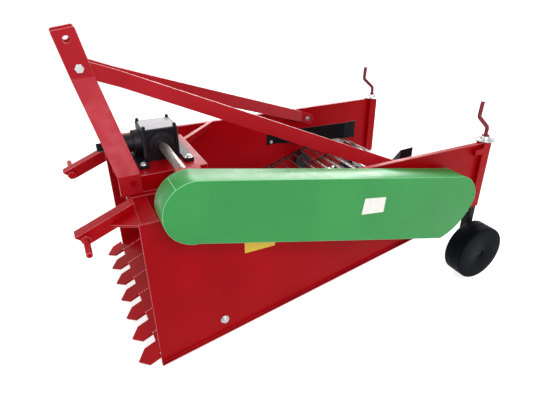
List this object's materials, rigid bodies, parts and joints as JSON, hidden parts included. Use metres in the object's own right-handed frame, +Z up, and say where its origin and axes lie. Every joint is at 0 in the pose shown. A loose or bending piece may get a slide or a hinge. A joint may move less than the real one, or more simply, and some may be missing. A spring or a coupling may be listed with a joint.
{
  "type": "potato harvester",
  "caption": "Tractor-mounted potato harvester with digging share, rod-link conveyor, gearbox, hitch mast and screw-set depth wheels.",
  "frame": {"origin": "on the ground under the middle of the machine's box", "axes": "+X forward, towards the tractor; +Y to the machine's left; +Z up"},
  "size_m": [1.96, 1.18, 1.263],
  "materials": {
    "red_paint": "gloss",
    "green_paint": "gloss",
    "black_casting": "painted",
    "grey_cover": "satin",
    "black_paint": "gloss",
    "bare_steel": "satin",
    "zinc": "plated",
    "rubber": "matte"
  },
  "bodies": {
    "frame": {"arm_gusset_left": "red_paint", "arm_gusset_right": "red_paint", "bridge_strut_left": "red_paint", "bridge_strut_right": "red_paint", "chain_case_back": "green_paint", "chain_case_cover": "green_paint", "conveyor_web": "bare_steel", "deflector_left": "black_paint", "deflector_right": "black_paint", "drive_bearing_left": "black_casting", "drive_bearing_right": "black_casting", "drive_shaft": "bare_steel", "front_beam": "red_paint", "front_idler": "bare_steel", "gearbox_bridge": "red_paint", "gearbox_case": "black_casting", "gearbox_cover": "grey_cover", "hitch_arm_left": "red_paint", "hitch_arm_right": "red_paint", "hitch_pin_left": "red_paint", "hitch_pin_right": "red_paint", "input_shaft": "black_paint", "jack_collar_left": "zinc", "jack_collar_right": "zinc", "jack_crank_left": "red_paint", "jack_crank_right": "red_paint", "leg_sleeve_left": "red_paint", "leg_sleeve_right": "red_paint", "lift_wheel_left": "black_casting", "lift_wheel_right": "black_casting", "mast_bar_left": "red_paint", "mast_bar_right": "red_paint", "mast_bolt": "zinc", "mast_brace_left": "red_paint", "mast_brace_right": "red_paint", "output_shaft": "bare_steel", "rear_tie_tube": "bare_steel", "shaft_bearing": "red_paint", "share_blade": "red_paint", "side_plate_left": "red_paint", "side_plate_right": "red_paint"},
    "leg_left": {"depth_leg_left": "black_paint"},
    "wheel_left": {"depth_wheel_left": "rubber"},
    "leg_right": {"depth_leg_right": "black_paint"},
    "wheel_right": {"depth_wheel_right": "rubber"}
  },
  "joints": [
    {"name": "leg_left_slide", "type": "slide", "parent": "frame", "child": "leg_left", "axis": [0, 0, 1], "range_m": [-0.12, 0.09]},
    {"name": "wheel_left_spin", "type": "hinge", "parent": "leg_left", "child": "wheel_left", "pos_m": [-0.838, 0.54, 0.142], "axis": [0, 1, 0], "continuous": true},
    {"name": "leg_right_slide", "type": "slide", "parent": "frame", "child": "leg_right", "axis": [0, 0, 1], "range_m": [-0.12, 0.09]},
    {"name": "wheel_right_spin", "type": "hinge", "parent": "leg_right", "child": "wheel_right", "pos_m": [-0.838, -0.54, 0.142], "axis": [0, 1, 0], "continuous": true}
  ]
}
